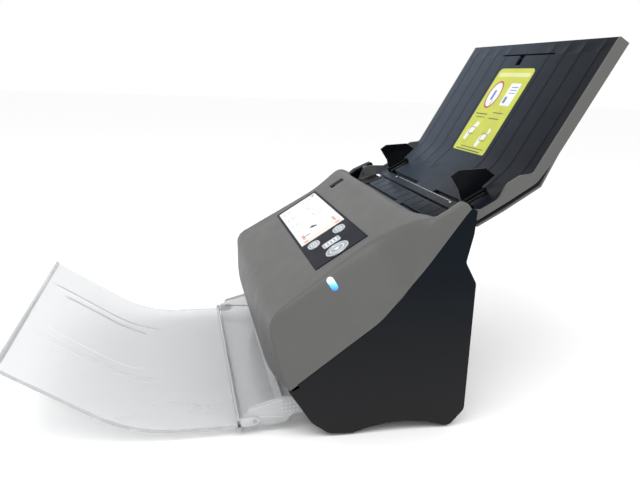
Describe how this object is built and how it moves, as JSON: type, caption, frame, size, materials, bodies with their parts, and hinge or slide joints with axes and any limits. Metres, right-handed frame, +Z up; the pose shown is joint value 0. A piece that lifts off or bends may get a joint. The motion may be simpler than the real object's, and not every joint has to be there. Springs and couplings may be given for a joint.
{
  "type": "sheet fed document scanner",
  "caption": "Desktop sheet fed scanner with a slanted display panel, folding input tray with paper guides, swing-down front cover and clear folding output tray",
  "frame": {"origin": "centre of the whole outline's base, on the surface that the rubber feet stand on, with the trays open", "axes": "+Z up; +X the scanner's right side; -Y the front, where paper comes out; the input tray leans towards +Y"},
  "size_m": [0.316, 0.5244, 0.3469],
  "materials": {
    "side_black": "fine-textured black plastic",
    "chassis_steel": "plain steel",
    "bush_white": "natural bearing plastic",
    "rubber": "matt rubber",
    "board_green": "solder-masked circuit board",
    "inner_black": "smooth black plastic",
    "tray_blue": "ribbed dark blue-grey plastic",
    "glass": "clear scanning glass",
    "motor_metal": "plated steel",
    "gear_white": "moulded acetal",
    "cover_grey": "satin warm-grey plastic",
    "display_black": "glossy black panel",
    "screen": "lit touch display",
    "key_silver": "satin silver keys",
    "lamp_blue": "lit blue translucent key",
    "label_green": "printed yellow-green label",
    "clear_plastic": "clear moulded plastic"
  },
  "bodies": {
    "base": {"base_plate": "side_black", "left_side_cover": "side_black", "right_side_cover": "side_black", "rear_cover": "side_black", "exit_lip": "side_black", "chassis_left": "chassis_steel", "chassis_right": "chassis_steel", "cross_bars": "chassis_steel", "shaft_bushes": "bush_white", "rubber_feet": "rubber", "rear_screws": "chassis_steel", "cover_hinge_pins": "chassis_steel", "main_board": "board_green", "dc_inlet": "inner_black", "usb_socket": "inner_black", "network_socket": "inner_black", "hopper_plate": "tray_blue", "lower_guide": "inner_black", "lower_scan_unit": "inner_black", "lower_scan_glass": "glass", "drive_motor": "motor_metal", "drive_belt": "rubber"},
    "front_cover": {"front_cover_shell": "cover_grey", "display_surround": "display_black", "display_screen": "screen", "display_board": "board_green", "upper_guide": "inner_black", "upper_scan_unit": "inner_black", "upper_scan_glass": "glass", "pinch_springs": "chassis_steel"},
    "separation_roller": {"separation_roller": "rubber"},
    "transport_pinch_roller": {"transport_pinch_roller": "rubber"},
    "exit_pinch_roller": {"exit_pinch_roller": "rubber"},
    "scan_key": {"scan_key": "key_silver"},
    "wide_key": {"wide_key": "key_silver"},
    "lower_key": {"lower_key": "key_silver"},
    "upper_key": {"upper_key": "key_silver"},
    "power_key": {"power_key": "lamp_blue"},
    "release_lever": {"release_lever": "inner_black"},
    "pick_roller": {"pick_shaft": "chassis_steel", "pick_tyres": "rubber", "pick_pulley": "gear_white"},
    "transport_roller": {"transport_shaft": "chassis_steel", "transport_tyres": "rubber", "transport_pulley": "gear_white"},
    "exit_roller": {"exit_shaft": "chassis_steel", "exit_tyres": "rubber", "exit_pulley": "gear_white"},
    "motor_pinion": {"motor_pinion": "motor_metal"},
    "input_tray": {"tray_back_shell": "cover_grey", "tray_inner": "tray_blue", "tray_label": "label_green"},
    "tray_extension": {"tray_extension": "inner_black"},
    "right_guide": {"guide_slider_right": "inner_black"},
    "right_wing": {"guide_wing_right": "inner_black"},
    "left_guide": {"guide_slider_left": "inner_black"},
    "left_wing": {"guide_wing_left": "inner_black"},
    "guide_pinion": {"guide_pinion": "inner_black"},
    "output_inner": {"output_inner_section": "clear_plastic"},
    "output_flap": {"output_flap": "clear_plastic"}
  },
  "joints": [
    {"name": "front_cover_hinge", "type": "hinge", "parent": "base", "child": "front_cover", "pos_m": [0, -0.02653, 0.0522], "axis": [1, 0, 0], "range_deg": [0, 70]},
    {"name": "separation_roller_spin", "type": "hinge", "parent": "front_cover", "child": "separation_roller", "pos_m": [0, 0.07287, 0.16491], "axis": [1, 0, 0], "continuous": true},
    {"name": "transport_pinch_spin", "type": "hinge", "parent": "front_cover", "child": "transport_pinch_roller", "pos_m": [0, 0.03956, 0.1223], "axis": [1, 0, 0], "continuous": true},
    {"name": "exit_pinch_spin", "type": "hinge", "parent": "front_cover", "child": "exit_pinch_roller", "pos_m": [0, -0.01201, 0.06112], "axis": [1, 0, 0], "continuous": true},
    {"name": "scan_key_travel", "type": "slide", "parent": "front_cover", "child": "scan_key", "axis": [0, -0.5509, 0.8345], "range_m": [-0.001, 0], "stiffness_N_per_m": 500},
    {"name": "wide_key_travel", "type": "slide", "parent": "front_cover", "child": "wide_key", "axis": [0, -0.5509, 0.8345], "range_m": [-0.001, 0], "stiffness_N_per_m": 500},
    {"name": "lower_key_travel", "type": "slide", "parent": "front_cover", "child": "lower_key", "axis": [0, -0.5509, 0.8345], "range_m": [-0.001, 0], "stiffness_N_per_m": 500},
    {"name": "upper_key_travel", "type": "slide", "parent": "front_cover", "child": "upper_key", "axis": [0, -0.5509, 0.8345], "range_m": [-0.001, 0], "stiffness_N_per_m": 500},
    {"name": "power_key_travel", "type": "slide", "parent": "front_cover", "child": "power_key", "axis": [0.9391, -0.1893, 0.2868], "range_m": [-0.0008, 0], "stiffness_N_per_m": 500},
    {"name": "release_lever_travel", "type": "slide", "parent": "front_cover", "child": "release_lever", "axis": [0, 0.8345, 0.5509], "range_m": [-0.005, 0], "stiffness_N_per_m": 200},
    {"name": "transport_roller_spin", "type": "hinge", "parent": "base", "child": "transport_roller", "pos_m": [0, 0.05483, 0.10893], "axis": [1, 0, 0], "continuous": true},
    {"name": "pick_roller_spin", "type": "hinge", "parent": "base", "child": "pick_roller", "pos_m": [0, 0.0904, 0.14956], "axis": [1, 0, 0], "continuous": true},
    {"name": "exit_roller_spin", "type": "hinge", "parent": "base", "child": "exit_roller", "pos_m": [0, 0.00214, 0.04874], "axis": [1, 0, 0], "continuous": true},
    {"name": "motor_spin", "type": "hinge", "parent": "base", "child": "motor_pinion", "pos_m": [0, 0.07473, 0.09551], "axis": [1, 0, 0], "continuous": true},
    {"name": "input_tray_hinge", "type": "hinge", "parent": "base", "child": "input_tray", "pos_m": [0, 0.12159, 0.19], "axis": [-1, 0, 0], "range_deg": [-143, 0]},
    {"name": "tray_extension_slide", "type": "slide", "parent": "input_tray", "child": "tray_extension", "axis": [0, 0.491, 0.8712], "range_m": [0, 0.08]},
    {"name": "right_guide_slide", "type": "slide", "parent": "input_tray", "child": "right_guide", "axis": [-1, 0, 0], "range_m": [-0.005, 0.077]},
    {"name": "left_guide_slide", "type": "slide", "parent": "input_tray", "child": "left_guide", "axis": [1, 0, 0], "range_m": [-0.005, 0.077]},
    {"name": "guide_pinion_spin", "type": "hinge", "parent": "input_tray", "child": "guide_pinion", "pos_m": [0, 0.14709, 0.18794], "axis": [0, -0.5, 0.866], "range_deg": [-90, 720]},
    {"name": "right_wing_fold", "type": "hinge", "parent": "right_guide", "child": "right_wing", "pos_m": [0.1065, 0.14059, 0.1992], "axis": [0, 0.866, 0.5], "range_deg": [-86.1, 0]},
    {"name": "left_wing_fold", "type": "hinge", "parent": "left_guide", "child": "left_wing", "pos_m": [-0.1065, 0.14059, 0.1992], "axis": [0, -0.866, -0.5], "range_deg": [-86.1, 0]},
    {"name": "output_inner_hinge", "type": "hinge", "parent": "base", "child": "output_inner", "pos_m": [0, -0.00541, 0.022], "axis": [1, 0, 0], "range_deg": [-30, 0]},
    {"name": "output_flap_hinge", "type": "hinge", "parent": "output_inner", "child": "output_flap", "pos_m": [0, -0.05541, 0.013], "axis": [1, 0, 0], "range_deg": [-35, 0]}
  ],
  "couplings": [
    {"joint": "pick_roller_spin", "follows": "transport_roller_spin", "ratio": 1},
    {"joint": "exit_roller_spin", "follows": "transport_roller_spin", "ratio": 1},
    {"joint": "motor_spin", "follows": "transport_roller_spin", "ratio": -3},
    {"joint": "left_guide_slide", "follows": "right_guide_slide", "ratio": 1},
    {"joint": "guide_pinion_spin", "follows": "right_guide_slide", "rad_per_m": 125},
    {"joint": "right_wing_fold", "follows": "input_tray_hinge", "ratio": 0.6014},
    {"joint": "left_wing_fold", "follows": "input_tray_hinge", "ratio": 0.6014}
  ]
}
